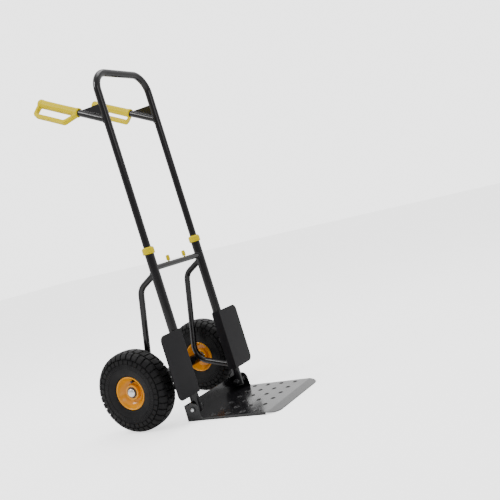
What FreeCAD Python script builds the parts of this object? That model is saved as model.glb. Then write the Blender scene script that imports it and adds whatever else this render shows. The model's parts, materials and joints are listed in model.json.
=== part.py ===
import FreeCAD, Part
import math
import os
import Sketcher

# Telescopic two-wheeled hand truck with a folding toe plate.
#
# Row frame: +X to the truck's right, +Y forward (the side the load stands on),
# +Z up, origin on the floor at the middle of the truck's footprint.
# Almost every frame piece is drawn in the "frame" placement: its origin is on
# the toe plate's pivot axis, its +Z runs up along the rails, and it leans back
# by lean_angle. The toe plate, the wheels and the handles have placements of
# their own, derived from the same cells.

V = FreeCAD.Vector
doc = FreeCAD.newDocument("hand_truck")
sheet = doc.addObject("Spreadsheet::Sheet", "dims")

CELLS = [
    # stance
    ("lean_angle", 4.0, "rails lean back from vertical, degrees"),
    ("pivot_height", 36.0, "toe plate pivot above the floor"),
    ("pivot_forward", 18.93, "toe plate pivot forward of the origin"),
    # lower frame
    ("rail_half", 135.0, "rail centre line from the middle"),
    ("rail_outer", 15.0, "lower rail outer radius"),
    ("rail_inner", 13.5, "lower rail inner radius"),
    ("rail_below", 14.0, "rail end below the pivot"),
    ("rail_top", 517.5, "rail end above the pivot"),
    ("crossbar_up", 455.8, "release crossbar above the pivot"),
    ("crossbar_outer", 9.0, "crossbar outer radius"),
    ("crossbar_inner", 7.5, "crossbar inner radius"),
    ("collar_mid", 513.5, "middle of the guide collar above the pivot"),
    ("collar_outer", 19.5, "guide collar outer radius"),
    ("collar_bore", 12.3, "guide collar bore radius"),
    ("collar_half", 11.0, "half height of the guide collar"),
    # axle and braces
    ("axle_back", 155.0, "axle behind the rail line"),
    ("axle_up", 105.07, "axle above the pivot along the rail"),
    ("axle_outer", 10.0, "axle shaft radius"),
    ("axle_end", 235.0, "axle shaft end from the middle"),
    ("axle_tube_outer", 17.5, "axle tube outer radius"),
    ("axle_tube_inner", 15.5, "axle tube inner radius"),
    ("axle_tube_half", 172.0, "half length of the axle tube"),
    ("brace_outer", 10.0, "brace tube outer radius"),
    ("brace_inner", 8.5, "brace tube inner radius"),
    ("brace_top_up", 441.0, "brace meets the rail above the pivot"),
    ("brace_bend_up", 404.6, "brace bend above the pivot"),
    ("brace_bend_back", 74.4, "brace bend behind the rail line"),
    ("brace_bend", 45.0, "brace upper bend radius"),
    ("knee_back", 147.6, "corner of the brace's lower bend behind the rail line"),
    ("knee_up", 107.2, "corner of the brace's lower bend above the pivot"),
    ("knee_bend", 55.0, "brace lower bend radius, round the front of the axle tube"),
    ("brace_foot_up", 57.0, "brace foot meets the rail above the pivot"),
    # wheel guards
    ("guard_thick", 2.5, "wheel guard sheet"),
    ("guard_side", 232.3, "wheel guard outer edge from the middle"),
    ("guard_low", 45.7, "wheel guard lower edge above the pivot"),
    ("guard_high", 252.6, "wheel guard upper edge above the pivot"),
    ("guard_return", 13.0, "wheel guard inner flange behind the rail line"),
    ("guard_corner", 20.0, "wheel guard outer corner radius"),
    # telescopic upper frame
    ("upper_outer", 12.0, "upper tube outer radius"),
    ("upper_inner", 10.0, "upper tube inner radius"),
    ("upper_bottom", 430.0, "lower end of the upper tube, extended"),
    ("upper_top", 1099.7, "top bar centre line, extended"),
    ("upper_bend", 62.0, "upper tube corner radius"),
    ("travel", 400.0, "telescopic travel"),
    ("lock_hole", 4.3, "lock hole radius"),
    ("glide_outer", 13.2, "end glide flange radius"),
    # handles
    ("handle_root_up", 943.8, "handle tube root above the pivot, extended"),
    ("handle_angle", 59.74, "handle tube turned back from the rail, degrees"),
    ("handle_outer", 11.0, "handle tube outer radius"),
    ("handle_inner", 9.5, "handle tube inner radius"),
    ("handle_end", 272.0, "handle tube length from the rail line"),
    ("grip_start", 111.0, "grip collar from the rail line"),
    ("grip_end", 280.0, "grip end from the rail line"),
    ("grip_outer", 14.0, "grip radius"),
    ("guard_bar_out", 47.0, "middle of the knuckle guard bar from the grip axis"),
    ("guard_bar_half", 5.8, "half thickness of the knuckle guard bar"),
    ("guard_bar_width", 16.0, "knuckle guard band width"),
    ("guard_bar_turn", 53.0, "knuckle guard turned down from straight outboard, degrees"),
    ("gusset_top_up", 999.5, "gusset top at the upper tube"),
    ("gusset_thick", 3.0, "gusset sheet"),
    # toe plate
    ("toe_half", 162.7, "toe plate half width over the ears"),
    ("ear_thick", 3.0, "ear and side flange sheet"),
    ("toe_thick", 2.5, "toe plate sheet"),
    ("toe_top", 27.5, "blade top below the pivot"),
    ("toe_back", 24.7, "back panel behind the pivot"),
    ("toe_back_up", 17.0, "back panel top above the pivot"),
    ("ear_back", 29.5, "rear corner of the ear behind the pivot"),
    ("toe_fold", 255.3, "lip fold in front of the pivot"),
    ("toe_front", 290.5, "lip edge in front of the pivot"),
    ("toe_corner", 38.0, "front corner radius in plan"),
    ("toe_hole", 6.0, "perforation radius"),
    ("hole_row_first", 56.0, "first perforation row in front of the pivot"),
    ("hole_row_pitch", 51.96, "perforation row pitch"),
    ("hole_col_pitch", 55.35, "perforation column pitch"),
    ("ear_round", 21.0, "ear radius about the pivot"),
    ("ear_hole", 5.08, "ear hole radius"),
    ("bolt_outer", 5.0, "pivot bolt radius"),
    # release
    ("knob_half", 46.0, "release knob from the middle"),
    ("knob_travel", 12.0, "release travel"),
    ("pin_outer", 4.0, "lock pin radius"),
    ("pin_tip", 122.5, "lock pin tip from the middle"),
    ("pin_root", 38.0, "lock pin inner end from the middle"),
    # wheels
    ("wheel_half", 204.0, "wheel centre plane from the middle"),
    ("tyre_outer", 130.0, "tyre radius"),
    ("tyre_half", 42.5, "half tyre width"),
    ("rim_edge", 53.6, "rim flange radius"),
    ("bead_seat", 50.5, "bead seat radius"),
    ("bearing_outer", 21.0, "bearing outer radius"),
    ("bearing_near", 10.5, "bearing inboard face from the wheel plane"),
    ("bearing_far", 22.5, "bearing outboard face from the wheel plane"),
    ("ball_pitch", 15.75, "ball circle radius"),
    ("ball_outer", 3.15, "ball radius"),
    ("valve_fore", 9.5, "valve in front of the axle"),
    ("valve_up", 34.0, "valve above the axle"),
]
for i, (alias, value, note) in enumerate(CELLS, 1):
    sheet.set("A%d" % i, alias)
    sheet.set("B%d" % i, str(value))
    sheet.setAlias("B%d" % i, alias)
    sheet.set("C%d" % i, note)
doc.recompute()


class Q:
    """A size, held as its number and as the sheet expression that gives it."""

    def __init__(self, value, text):
        self.v = float(value)
        self.t = text

    def _two(self, other, sign, value, flip=False):
        other = q(other)
        a, b = (other, self) if flip else (self, other)
        return Q(value(a.v, b.v), "(%s %s %s)" % (a.t, sign, b.t))

    def __add__(self, o):
        return self._two(o, "+", lambda a, b: a + b)

    def __radd__(self, o):
        return self._two(o, "+", lambda a, b: a + b, True)

    def __sub__(self, o):
        return self._two(o, "-", lambda a, b: a - b)

    def __rsub__(self, o):
        return self._two(o, "-", lambda a, b: a - b, True)

    def __mul__(self, o):
        return self._two(o, "*", lambda a, b: a * b)

    def __rmul__(self, o):
        return self._two(o, "*", lambda a, b: a * b, True)

    def __truediv__(self, o):
        return self._two(o, "/", lambda a, b: a / b)

    def __rtruediv__(self, o):
        return self._two(o, "/", lambda a, b: a / b, True)

    def __neg__(self):
        return Q(-self.v, "(0 - %s)" % self.t)


def q(x):
    return x if isinstance(x, Q) else Q(x, "%.9g" % x if x >= 0 else "(0 - %.9g)" % -x)


def cell(alias):
    return Q(float(getattr(sheet, alias)), "dims." + alias)


def root2(x):
    x = q(x)
    return Q(math.sqrt(x.v), "sqrt(%s)" % x.t)


def sind(x):
    x = q(x)
    return Q(math.sin(math.radians(x.v)), "sin(%s * 1 deg)" % x.t)


def cosd(x):
    x = q(x)
    return Q(math.cos(math.radians(x.v)), "cos(%s * 1 deg)" % x.t)


D = {alias: cell(alias) for alias, value, note in CELLS}
SUBPARTS = []


def put(obj, prop, x):
    """Sets a property and binds it to the sheet."""
    x = q(x)
    if "." not in prop:
        setattr(obj, prop, x.v)
    obj.setExpression(prop, x.t)


def plane(body, role):
    return [o for o in body.Origin.OriginFeatures if o.Role == role][0]


def new_body(label):
    body = doc.addObject("PartDesign::Body", label)
    body.Label = label
    SUBPARTS.append(body)
    return body


def sketch(body, role, name, lift=None, turn=None):
    s = body.newObject("Sketcher::SketchObject", name)
    s.AttachmentSupport = [(plane(body, role), "")]
    s.MapMode = "FlatFace"
    if turn is not None:
        s.AttachmentOffset = turn
    if lift is not None:
        lift = q(lift)
        s.AttachmentOffset = FreeCAD.Placement(V(0, 0, lift.v), FreeCAD.Rotation())
        s.setExpression("AttachmentOffset.Base.z", lift.t)
    return s


def pin_point(s, geo, pos, x, y):
    """Ties a sketch point to the sheet."""
    for k, (kind, axis) in enumerate((("DistanceX", -2), ("DistanceY", -1))):
        val = q((x, y)[k])
        if abs(val.v) < 1e-9:
            s.addConstraint(Sketcher.Constraint("PointOnObject", geo, pos, axis))
        else:
            c = s.addConstraint(Sketcher.Constraint(kind, -1, 1, geo, pos, val.v))
            s.setExpression("Constraints[%d]" % c, val.t)


def circle(s, x, y, r):
    x, y, r = q(x), q(y), q(r)
    g = s.addGeometry(Part.Circle(V(x.v, y.v, 0), V(0, 0, 1), r.v), False)
    pin_point(s, g, 3, x, y)
    c = s.addConstraint(Sketcher.Constraint("Radius", g, r.v))
    s.setExpression("Constraints[%d]" % c, r.t)
    return g


def loop(s, points):
    """A closed polygon, every corner tied to the sheet."""
    pts = [(q(a), q(b)) for a, b in points]
    n = len(pts)
    first = s.GeometryCount
    for i in range(n):
        a, b = pts[i], pts[(i + 1) % n]
        s.addGeometry(Part.LineSegment(V(a[0].v, a[1].v, 0), V(b[0].v, b[1].v, 0)), False)
    for i in range(n):
        s.addConstraint(Sketcher.Constraint("Coincident", first + i, 2, first + (i + 1) % n, 1))
    for i in range(n):
        pin_point(s, first + i, 1, *pts[i])


def bent(s, points, radii):
    """An open run of straight stretches joined by tangent arcs, all tied to the sheet."""
    pts = [(q(a), q(b)) for a, b in points]
    runs = []
    start = pts[0]
    arcs = []
    for i in range(1, len(pts) - 1):
        c, p, n = pts[i], pts[i - 1], pts[i + 1]
        ax, ay = p[0] - c[0], p[1] - c[1]
        bx, by = n[0] - c[0], n[1] - c[1]
        la, lb = root2(ax * ax + ay * ay), root2(bx * bx + by * by)
        ax, ay, bx, by = ax / la, ay / la, bx / lb, by / lb
        dot = ax * bx + ay * by
        cut = radii[i - 1] / root2((1 - dot) / (1 + dot))
        t1 = (c[0] + ax * cut, c[1] + ay * cut)
        t2 = (c[0] + bx * cut, c[1] + by * cut)
        mx, my = (ax + bx).v, (ay + by).v
        ml = math.hypot(mx, my)
        far = math.hypot(cut.v, radii[i - 1].v)
        centre = (c[0].v + mx / ml * far, c[1].v + my / ml * far)
        middle = (centre[0] - mx / ml * radii[i - 1].v, centre[1] - my / ml * radii[i - 1].v)
        runs.append((start, t1))
        arcs.append((t1, middle, t2, radii[i - 1]))
        start = t2
    runs.append((start, pts[-1]))
    prev = None
    for i, (a, b) in enumerate(runs):
        g = s.addGeometry(Part.LineSegment(V(a[0].v, a[1].v, 0), V(b[0].v, b[1].v, 0)), False)
        pin_point(s, g, 1, *a)
        pin_point(s, g, 2, *b)
        if prev is not None:
            ag, end = prev
            s.addConstraint(Sketcher.Constraint("Coincident", ag, end, g, 1))
        if i < len(arcs):
            t1, m, t2, r = arcs[i]
            arc = Part.Arc(V(t1[0].v, t1[1].v, 0), V(m[0], m[1], 0), V(t2[0].v, t2[1].v, 0))
            ag = s.addGeometry(arc, False)
            p1 = s.getPoint(ag, 1)
            near = 1 if p1.distanceToPoint(V(t1[0].v, t1[1].v, 0)) < 1e-4 else 2
            s.addConstraint(Sketcher.Constraint("Coincident", g, 2, ag, near))
            c = s.addConstraint(Sketcher.Constraint("Radius", ag, r.v))
            s.setExpression("Constraints[%d]" % c, r.t)
            prev = (ag, 3 - near)


def settle(body, feature, removes=None):
    """Recomputes, and makes sure that the feature did what it is there for."""
    before = body.Shape.Volume if not body.Shape.isNull() else 0.0
    doc.recompute()
    after = feature.Shape.Volume
    if removes is True and not after < before - 1e-3:
        raise RuntimeError("%s of %s removes nothing" % (feature.Name, body.Label))
    if removes is False and not after > before + 1e-3:
        raise RuntimeError("%s of %s adds nothing" % (feature.Name, body.Label))
    return feature


def pad(body, s, length, symmetric=False, reverse=False):
    f = body.newObject("PartDesign::Pad", "pad")
    f.Profile = s
    put(f, "Length", length)
    if symmetric:
        f.SideType = "Symmetric"
    f.Reversed = reverse
    return settle(body, f, False)


def pocket(body, s, length=None, symmetric=False, reverse=False):
    f = body.newObject("PartDesign::Pocket", "pocket")
    f.Profile = s
    if length is None:
        f.Type = "ThroughAll"
    else:
        put(f, "Length", length)
    if symmetric:
        f.SideType = "Symmetric"
    f.Reversed = reverse
    return settle(body, f, True)


def revolve(body, s, axis, cut=False):
    f = body.newObject("PartDesign::Groove" if cut else "PartDesign::Revolution", "turn")
    f.Profile = s
    f.ReferenceAxis = (s, [axis])
    f.Angle = 360
    return settle(body, f, cut)


def pipe(body, profile, path):
    f = body.newObject("PartDesign::AdditivePipe", "pipe")
    f.Profile = profile
    f.Spine = (path, ["Edge%d" % (i + 1) for i in range(path.GeometryCount)])
    return settle(body, f, False)


def drill(body, x, y, z, turn_x, r, length):
    """Cuts a cylinder whose axis is the body's Z turned about X."""
    f = body.newObject("PartDesign::SubtractiveCylinder", "cope")
    put(f, "Radius", r)
    put(f, "Height", length)
    turn_x = q(turn_x)
    rot = FreeCAD.Rotation(V(1, 0, 0), turn_x.v)
    base = V(q(x).v, q(y).v, q(z).v) - rot.multVec(V(0, 0, q(length).v / 2))
    f.Placement = FreeCAD.Placement(base, rot)
    return settle(body, f, True)


def round_edges(body, edges, radius):
    tip = body.Tip
    f = body.newObject("PartDesign::Fillet", "round")
    f.Base = (tip, edges)
    put(f, "Radius", radius)
    return settle(body, f)


def edges_where(shape, test):
    return ["Edge%d" % (i + 1) for i, e in enumerate(shape.Edges) if test(e)]


def place(obj, x, y, z, angle):
    """Seats a sub-part: x, y, z and the turn about X come from the sheet."""
    x, y, z, angle = q(x), q(y), q(z), q(angle)
    turn = FreeCAD.Rotation(V(1, 0, 0), angle.v if abs(angle.v) > 1e-9 else 0.0)
    obj.Placement = FreeCAD.Placement(V(x.v, y.v, z.v), turn)
    obj.setExpression("Placement.Base.x", x.t)
    obj.setExpression("Placement.Base.y", y.t)
    obj.setExpression("Placement.Base.z", z.t)
    if abs(angle.v) > 1e-9:
        obj.setExpression("Placement.Rotation.Angle", "%s * 1 deg" % angle.t)


LEAN = D["lean_angle"]


def in_frame(x, y, z):
    """A point of the leaning frame, in the row frame."""
    y, z = q(y), q(z)
    return (
        q(x),
        D["pivot_forward"] + y * cosd(LEAN) - z * sind(LEAN),
        D["pivot_height"] + y * sind(LEAN) + z * cosd(LEAN),
    )


def place_frame(obj, x=0, y=0, z=0):
    place(obj, *in_frame(x, y, z), LEAN)


SIDES = (("right", 1.0), ("left", -1.0))
RH = D["rail_half"]
RO = D["rail_outer"]

# ------------------------------------------------------------------ rails
for side, k in SIDES:
    b = new_body("rail_" + side)
    s = sketch(b, "XY_Plane", "section", lift=-D["rail_below"])
    circle(s, 0, 0, RO)
    circle(s, 0, 0, D["rail_inner"])
    pad(b, s, D["rail_top"] + D["rail_below"])
    # pivot bolt hole, right through
    s = sketch(b, "YZ_Plane", "bolt_hole")
    circle(s, 0, 0, D["bolt_outer"] + 0.05)
    pocket(b, s, symmetric=True)
    # lock pin hole in the inner wall
    s = sketch(b, "YZ_Plane", "pin_hole")
    circle(s, 0, D["crossbar_up"], D["lock_hole"])
    pocket(b, s, 2 * RO, reverse=(k < 0))
    place_frame(b, k * RH)

# moulded plug closing each rail's lower end
plugs = new_body("rail_end_plugs")
s = sketch(plugs, "XY_Plane", "plug_cap", lift=-D["rail_below"] - 1.5)
for side, k in SIDES:
    circle(s, k * RH, 0, RO - 0.4)
pad(plugs, s, 1.5)
s = sketch(plugs, "XY_Plane", "plug_stem", lift=-D["rail_below"])
for side, k in SIDES:
    circle(s, k * RH, 0, D["rail_inner"])
pad(plugs, s, 7.0)
place_frame(plugs)

# ------------------------------------------------------------------ crossbar
b = new_body("crossbar")
s = sketch(b, "YZ_Plane", "section")
circle(s, 0, 0, D["crossbar_outer"])
circle(s, 0, 0, D["crossbar_inner"])
pad(b, s, 2 * RH, symmetric=True)
# both ends are coped to the rails
s = sketch(b, "XY_Plane", "cope")
for side, k in SIDES:
    circle(s, k * RH, 0, RO)
pocket(b, s, symmetric=True)
# a slot for each release knob in the top wall
s = sketch(b, "XY_Plane", "slots")
for side, k in SIDES:
    x1, x2 = k * (D["knob_half"] - D["knob_travel"] - 3.2), k * (D["knob_half"] + 3.2)
    loop(s, [(x1, -3.2), (x2, -3.2), (x2, 3.2), (x1, 3.2)])
pocket(b, s, 20, reverse=True)
place_frame(b, 0, 0, D["crossbar_up"])

# ------------------------------------------------------------------ axle
AX = in_frame(0, -D["axle_back"], D["axle_up"])


def place_axle(obj, x=0):
    place(obj, x, AX[1], AX[2], 0)


b = new_body("axle_tube")
s = sketch(b, "YZ_Plane", "section")
circle(s, 0, 0, D["axle_tube_outer"])
circle(s, 0, 0, D["axle_tube_inner"])
pad(b, s, 2 * D["axle_tube_half"], symmetric=True)
place_axle(b)

b = new_body("axle_shaft")
s = sketch(b, "XZ_Plane", "section")
xe, ao = D["axle_end"], D["axle_outer"]
loop(s, [(-xe, 0), (xe, 0), (xe, ao - 1), (xe - 1, ao), (1 - xe, ao), (-xe, ao - 1)])
revolve(b, s, "H_Axis")
place_axle(b)

# ------------------------------------------------------------------ side braces
# One tube a side: down from the rail, round the front of the axle tube, and
# forward to the rail's foot.
for side, k in SIDES:
    b = new_body("side_brace_" + side)
    p0 = (0, D["brace_top_up"])
    p1 = (-D["brace_bend_back"], D["brace_bend_up"])
    p2 = (-D["knee_back"], D["knee_up"])
    p3 = (0, D["brace_foot_up"])
    path = sketch(b, "YZ_Plane", "path")
    bent(path, [p0, p1, p2, p3], [D["brace_bend"], D["knee_bend"]])
    # the section stands square to the first stretch
    rise = math.degrees(math.atan2(-(p1[1] - p0[1]).v, -(p1[0]).v))
    prof = b.newObject("Sketcher::SketchObject", "section")
    prof.AttachmentSupport = [(plane(b, "XZ_Plane"), "")]
    prof.MapMode = "FlatFace"
    prof.AttachmentOffset = FreeCAD.Placement(V(0, p0[1].v, 0), FreeCAD.Rotation(V(1, 0, 0), rise))
    prof.setExpression("AttachmentOffset.Base.y", D["brace_top_up"].t)
    circle(prof, 0, 0, D["brace_outer"])
    circle(prof, 0, 0, D["brace_inner"])
    pipe(b, prof, path)
    s = sketch(b, "XY_Plane", "rail_cope")
    circle(s, 0, 0, RO)
    pocket(b, s, symmetric=True)
    s = sketch(b, "YZ_Plane", "axle_saddle")
    circle(s, -D["axle_back"], D["axle_up"], D["axle_tube_outer"])
    pocket(b, s, symmetric=True)
    place_frame(b, k * RH)

# ------------------------------------------------------------------ wheel guards
for side, k in SIDES:
    b = new_body("wheel_guard_" + side)
    t = D["guard_thick"]
    xi = -RO                      # inner face of the rail
    xo = D["guard_side"] - RH     # outer edge
    s = sketch(b, "XY_Plane", "section", lift=D["guard_low"])
    loop(s, [
        (k * (xi - t), -D["guard_return"]),
        (k * xi, -D["guard_return"]),
        (k * xi, RO),
        (k * xo, RO),
        (k * xo, RO + t),
        (k * (xi - t), RO + t),
    ])
    pad(b, s, D["guard_high"] - D["guard_low"])
    outer = xo.v * k
    names = edges_where(
        b.Shape,
        lambda e: abs(e.Length - t.v) < 1e-3 and all(abs(p.Point.x - outer) < 1e-3 for p in e.Vertexes)
        and abs(e.Vertexes[0].Point.z - e.Vertexes[1].Point.z) < 1e-3,
    )
    round_edges(b, names, D["guard_corner"])
    # the free edge of the inner flange is rounded off at both ends
    inner = (xi.v - t.v / 2) * k
    names = edges_where(
        b.Shape,
        lambda e: abs(e.Length - t.v) < 1e-3 and abs(e.CenterOfMass.x - inner) < 1e-3
        and abs(e.CenterOfMass.y + D["guard_return"].v) < 1e-3,
    )
    round_edges(b, names, 8)
    # bend radius of the sheet
    corner = (xi.v - t.v) * k
    names = edges_where(
        b.Shape,
        lambda e: e.Length > 150 and abs(e.CenterOfMass.x - corner) < 1e-3 and abs(e.CenterOfMass.y - RO.v - t.v) < 1e-3,
    )
    round_edges(b, names, 2.4)
    place_frame(b, k * RH)

# ------------------------------------------------------------------ guide collars
for side, k in SIDES:
    b = new_body("guide_collar_" + side)
    h, ro, rb = D["collar_half"], D["collar_outer"], D["collar_bore"]
    s = sketch(b, "XZ_Plane", "section")
    loop(s, [
        (RO, -h), (ro - 1.5, -h), (ro, -h + 1.5), (ro, h - 3), (ro - 3, h), (rb + 1, h), (rb, h - 1),
        (rb, D["rail_top"] - D["collar_mid"]), (RO, D["rail_top"] - D["collar_mid"]),
    ])
    revolve(b, s, "V_Axis")
    place_frame(b, k * RH, 0, D["collar_mid"])

# ------------------------------------------------------------------ upper frame
b = new_body("upper_frame")
path = sketch(b, "XZ_Plane", "path")
bent(path, [(RH, D["upper_bottom"]), (RH, D["upper_top"]), (-RH, D["upper_top"]), (-RH, D["upper_bottom"])],
     [D["upper_bend"], D["upper_bend"]])
prof = sketch(b, "XY_Plane", "section", lift=D["upper_bottom"])
circle(prof, RH, 0, D["upper_outer"])
circle(prof, RH, 0, D["upper_inner"])
pipe(b, prof, path)
# lock holes for the extended and the lowered height, in the inner walls
s = sketch(b, "YZ_Plane", "lock_holes")
circle(s, 0, D["crossbar_up"], D["lock_hole"])
circle(s, 0, D["crossbar_up"] + D["travel"], D["lock_hole"])
pocket(b, s, 2 * RH, symmetric=True)
place_frame(b)

b = new_body("upper_tube_glides")
s = sketch(b, "XY_Plane", "flange", lift=D["upper_bottom"] - 3)
for side, k in SIDES:
    circle(s, k * RH, 0, D["glide_outer"])
pad(b, s, 3)
s = sketch(b, "XY_Plane", "stem", lift=D["upper_bottom"])
for side, k in SIDES:
    circle(s, k * RH, 0, D["upper_inner"])
pad(b, s, 14)
place_frame(b)

# ------------------------------------------------------------------ handles
TURN = D["handle_angle"]
for side, k in SIDES:
    hx, hy, hz = in_frame(k * RH, 0, D["handle_root_up"])
    b = new_body("handle_tube_" + side)
    s = sketch(b, "XY_Plane", "section")
    circle(s, 0, 0, D["handle_outer"])
    circle(s, 0, 0, D["handle_inner"])
    pad(b, s, D["handle_end"])
    # coped to the upper tube, whose line is turned back by handle_angle
    drill(b, 0, 0, 0, -TURN, D["upper_outer"], 120)
    place(b, hx, hy, hz, LEAN + TURN)

    b = new_body("handle_gusset_" + side)
    top = D["gusset_top_up"]
    hs, hc = sind(TURN), cosd(TURN)
    ro, uo = D["handle_outer"], D["upper_outer"]
    along_root = (uo + ro * hc) / hs      # where the handle's upper line leaves the upper tube
    along_tip = q(102)
    s = sketch(b, "YZ_Plane", "plate")

    def upper_line(a):
        return (-(a * hs) + ro * hc, D["handle_root_up"] + a * hc + ro * hs)

    loop(s, [(-uo, top), upper_line(along_root), upper_line(along_tip)])
    pad(b, s, D["gusset_thick"], symmetric=True)
    place_frame(b, k * RH)

    # hand grip with its knuckle guard, one moulding
    b = new_body("hand_grip_" + side)
    g0, g1, go = D["grip_start"], D["grip_end"], D["grip_outer"]
    s = sketch(b, "XZ_Plane", "grip_section")
    loop(s, [
        (0, g0), (go, g0), (go + 1.5, g0 + 1.5), (go + 1.5, g0 + 9), (go, g0 + 13),
        (go - 0.4, g0 + 60), (go - 0.4, g0 + 110), (go + 0.2, g1 - 18), (go + 1.2, g1 - 12),
        (go + 1.2, g1 - 4.5), (go - 0.6, g1 - 1.4), (go - 4, g1), (0, g1),
    ])
    revolve(b, s, "V_Axis")
    # flat band in the plane through the grip axis and the guard bar
    beta = -D["guard_bar_turn"].v if k > 0 else -(180.0 - D["guard_bar_turn"].v)
    rot = FreeCAD.Rotation(V(0, 1, 0), beta)
    out = D["guard_bar_out"]
    s = sketch(b, "XZ_Plane", "guard_band", turn=FreeCAD.Placement(V(0, 0, 0), rot))
    ti = out - D["guard_bar_half"]
    te = out + D["guard_bar_half"]
    loop(s, [
        (0, g0 + 2.5), (11, g0 + 2.5), (16, g0 + 4.5), (te - 3.5, g0 + 27.5), (te - 0.8, g0 + 31), (te, g0 + 36),
        (te, g1 - 22), (te - 2.5, g1 - 13), (te - 10, g1 - 6.5), (18, g1 - 2.5), (0, g1 - 2.5),
    ])
    loop(s, [
        (go - 1.0, g0 + 15.5), (17, g0 + 16), (ti - 3, g0 + 34), (ti, g0 + 39.5),
        (ti, g1 - 22.5), (ti - 3, g1 - 17.5), (ti - 9, g1 - 14.5), (go - 1.0, g1 - 12.5),
    ])
    pad(b, s, D["guard_bar_width"], symmetric=True)
    # bore over the handle tube, closed at the end
    s = sketch(b, "XY_Plane", "bore", lift=D["handle_end"])
    circle(s, 0, 0, D["handle_outer"])
    pocket(b, s, D["handle_end"])
    place(b, hx, hy, hz, LEAN + TURN)

# ------------------------------------------------------------------ toe plate
b = new_body("toe_plate")
tt, th, tb = D["toe_thick"], D["toe_half"], D["toe_back"]
top, ground = -D["toe_top"], -D["pivot_height"]
fold, front = D["toe_fold"], D["toe_front"]
lip_top = ground + tt
s = sketch(b, "YZ_Plane", "sheet_section")
loop(s, [
    (-tb, ground), (-tb + tt, ground), (-tb + tt, top - tt), (fold, top - tt), (front, ground),
    (front, lip_top), (fold + 0.4, top), (-tb + tt, top), (-tb + tt, D["toe_back_up"]), (-tb, D["toe_back_up"]),
])
pad(b, s, 2 * th, symmetric=True)
# perforations: six columns by four rows
s = sketch(b, "XY_Plane", "perforation", lift=top + 5)
circle(s, -2.5 * D["hole_col_pitch"], D["hole_row_first"], D["toe_hole"])
hole = pocket(b, s, 12)
multi = b.newObject("PartDesign::MultiTransform", "perforations")
multi.Originals = [hole]
cols = b.newObject("PartDesign::LinearPattern", "columns")
cols.Direction = (s, ["H_Axis"])
cols.Occurrences = 6
put(cols, "Length", 5 * D["hole_col_pitch"])
rows = b.newObject("PartDesign::LinearPattern", "rows")
rows.Direction = (s, ["V_Axis"])
rows.Occurrences = 4
put(rows, "Length", 3 * D["hole_row_pitch"])
multi.Transformations = [cols, rows]
b.Tip = multi
settle(b, multi, True)
# front corners rounded in plan
cr = D["toe_corner"]
for side, k in SIDES:
    s = sketch(b, "XY_Plane", "corner_" + side, lift=10)
    pts = [(k * (th + 1), front + 1), (k * (th + 1), front - cr), (k * th, front - cr)]
    steps = 10
    for i in range(1, steps):
        a = 90.0 * i / steps
        pts.append((k * (th - cr + cr * math.cos(math.radians(a))), front - cr + cr * math.sin(math.radians(a))))
    pts += [(k * (th - cr), front), (k * (th - cr), front + 1)]
    loop(s, pts)
    pocket(b, s, 80)
# ears and side flanges
er = D["ear_round"]
flange_end = front - cr
for side, k in SIDES:
    s = sketch(b, "YZ_Plane", "ear_" + side, lift=(th - D["ear_thick"]) if k > 0 else -th)
    pts = [(-tb - 2.3, ground), (flange_end, ground), (flange_end, lip_top + 2.0), (fold, top), (28, top), (24, top + 3)]
    for a in range(10, 131, 10):
        pts.append((er * math.cos(math.radians(a)), er * math.sin(math.radians(a))))
    pts += [(1.5 - D["ear_back"], D["toe_back_up"] - 0.6), (-D["ear_back"], D["toe_back_up"] - 2.6)]
    loop(s, pts)
    pad(b, s, D["ear_thick"])
s = sketch(b, "YZ_Plane", "ear_bore")
circle(s, 0, 0, D["ear_hole"])
pocket(b, s, symmetric=True)
place(b, 0, D["pivot_forward"], D["pivot_height"], 0)

# ------------------------------------------------------------------ pivot hardware
ei = th - D["ear_thick"]          # inner face of the ear
bo = D["bolt_outer"]
b = new_body("pivot_bolts")
s = sketch(b, "XZ_Plane", "section")
for side, k in SIDES:
    loop(s, [
        (k * (RH - RO - 9), 0), (k * (RH - RO - 9), bo - 1), (k * (RH - RO - 8), bo), (k * (th + 2.3), bo),
        (k * (th + 2.3), 6.6), (k * (th + 3.9), 6.3), (k * (th + 5.4), 4.9), (k * (th + 6.3), 2.6), (k * (th + 6.6), 0),
    ])
revolve(b, s, "H_Axis")
place_frame(b)

b = new_body("pivot_spacers")
s = sketch(b, "YZ_Plane", "section")
circle(s, 0, 0, 10)
circle(s, 0, 0, bo)
pad(b, s, 2 * (ei - 0.2), symmetric=True)
s = sketch(b, "XZ_Plane", "middle")
loop(s, [(-RH, -20), (RH, -20), (RH, 20), (-RH, 20)])
pocket(b, s, 60, symmetric=True)
s = sketch(b, "XY_Plane", "rail_seat")
for side, k in SIDES:
    circle(s, k * RH, 0, RO)
pocket(b, s, symmetric=True)
place_frame(b)

b = new_body("pivot_outer_washers")
s = sketch(b, "XZ_Plane", "section")
for side, k in SIDES:
    loop(s, [(k * (th + 0.3), bo), (k * (th + 2.3), bo), (k * (th + 2.3), 9.5), (k * (th + 0.3), 9.5)])
revolve(b, s, "H_Axis")
place_frame(b)

b = new_body("pivot_saddle_washers")
s = sketch(b, "YZ_Plane", "section")
circle(s, 0, 0, 9.5)
circle(s, 0, 0, bo)
pad(b, s, 2 * RH, symmetric=True)
s = sketch(b, "XZ_Plane", "middle")
w = RH - RO - 2
loop(s, [(-w, -20), (w, -20), (w, 20), (-w, 20)])
pocket(b, s, 60, symmetric=True)
s = sketch(b, "XY_Plane", "rail_seat")
for side, k in SIDES:
    circle(s, k * RH, 0, RO)
pocket(b, s, symmetric=True)
place_frame(b)

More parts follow.
